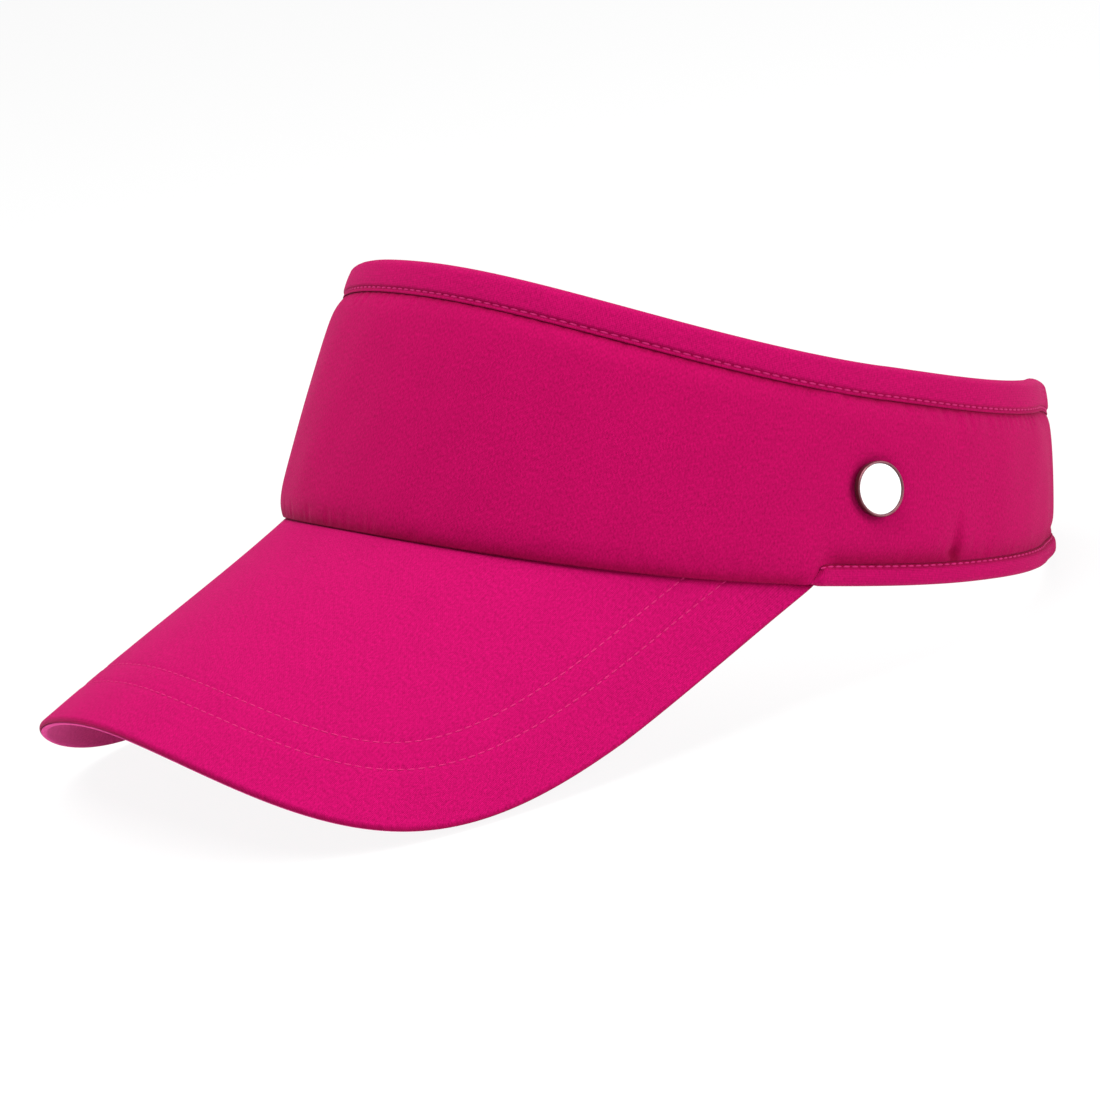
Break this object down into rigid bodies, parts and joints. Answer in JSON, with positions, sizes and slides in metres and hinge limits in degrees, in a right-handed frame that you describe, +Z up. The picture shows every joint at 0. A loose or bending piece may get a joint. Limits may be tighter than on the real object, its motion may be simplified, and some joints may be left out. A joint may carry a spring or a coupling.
{
  "type": "sun visor",
  "caption": "Open-topped sun visor: padded fabric head band, long curved stiffened brim, bound edges, round side badge and a hook-and-loop closure tab at the back.",
  "frame": {"origin": "middle of the head opening, level with the band's lower edge at the temples' mid-line", "axes": "+Z up as worn on an upright head, -Y the way the wearer faces, +X the wearer's left"},
  "size_m": [0.1721, 0.2881, 0.1178],
  "materials": {
    "shell_cloth": "fine plain weave, matte with a soft sheen",
    "brim_cloth": "fine plain weave stretched over the board, topstitched",
    "under_cloth": "fine plain weave, in shade",
    "lining_cloth": "smooth lining cloth",
    "binding_tape": "folded bias tape, topstitched",
    "towelling": "looped terry",
    "foam": "open-cell foam",
    "board": "stiff flexible board",
    "loop_tape": "brushed loops",
    "hook_tape": "fine moulded hooks",
    "badge_metal": "dark gunmetal, polished edge",
    "badge_face": "plain white, slightly glossy",
    "rivet_steel": "plain, bright"
  },
  "bodies": {
    "visor": {"band_shell": "shell_cloth", "band_foam": "foam", "band_lining": "lining_cloth", "sweatband": "towelling", "top_binding": "binding_tape", "hem_left": "binding_tape", "hem_right": "binding_tape", "brim_board": "board", "brim_top_cover": "brim_cloth", "brim_under_cover": "under_cloth", "loop_patch": "loop_tape", "badge_rim": "badge_metal", "badge_face": "badge_face", "badge_rivet": "rivet_steel", "badge_backing": "rivet_steel"},
    "tab": {"tab_shell": "shell_cloth", "tab_lining": "lining_cloth", "tab_binding": "binding_tape", "hook_patch": "hook_tape"}
  },
  "joints": [
    {"name": "tab_fold", "type": "hinge", "parent": "visor", "child": "tab", "pos_m": [0.04205, 0.1004, -0.00389], "axis": [0.0763, -0.187, -0.9794], "range_deg": [0, 110]}
  ]
}
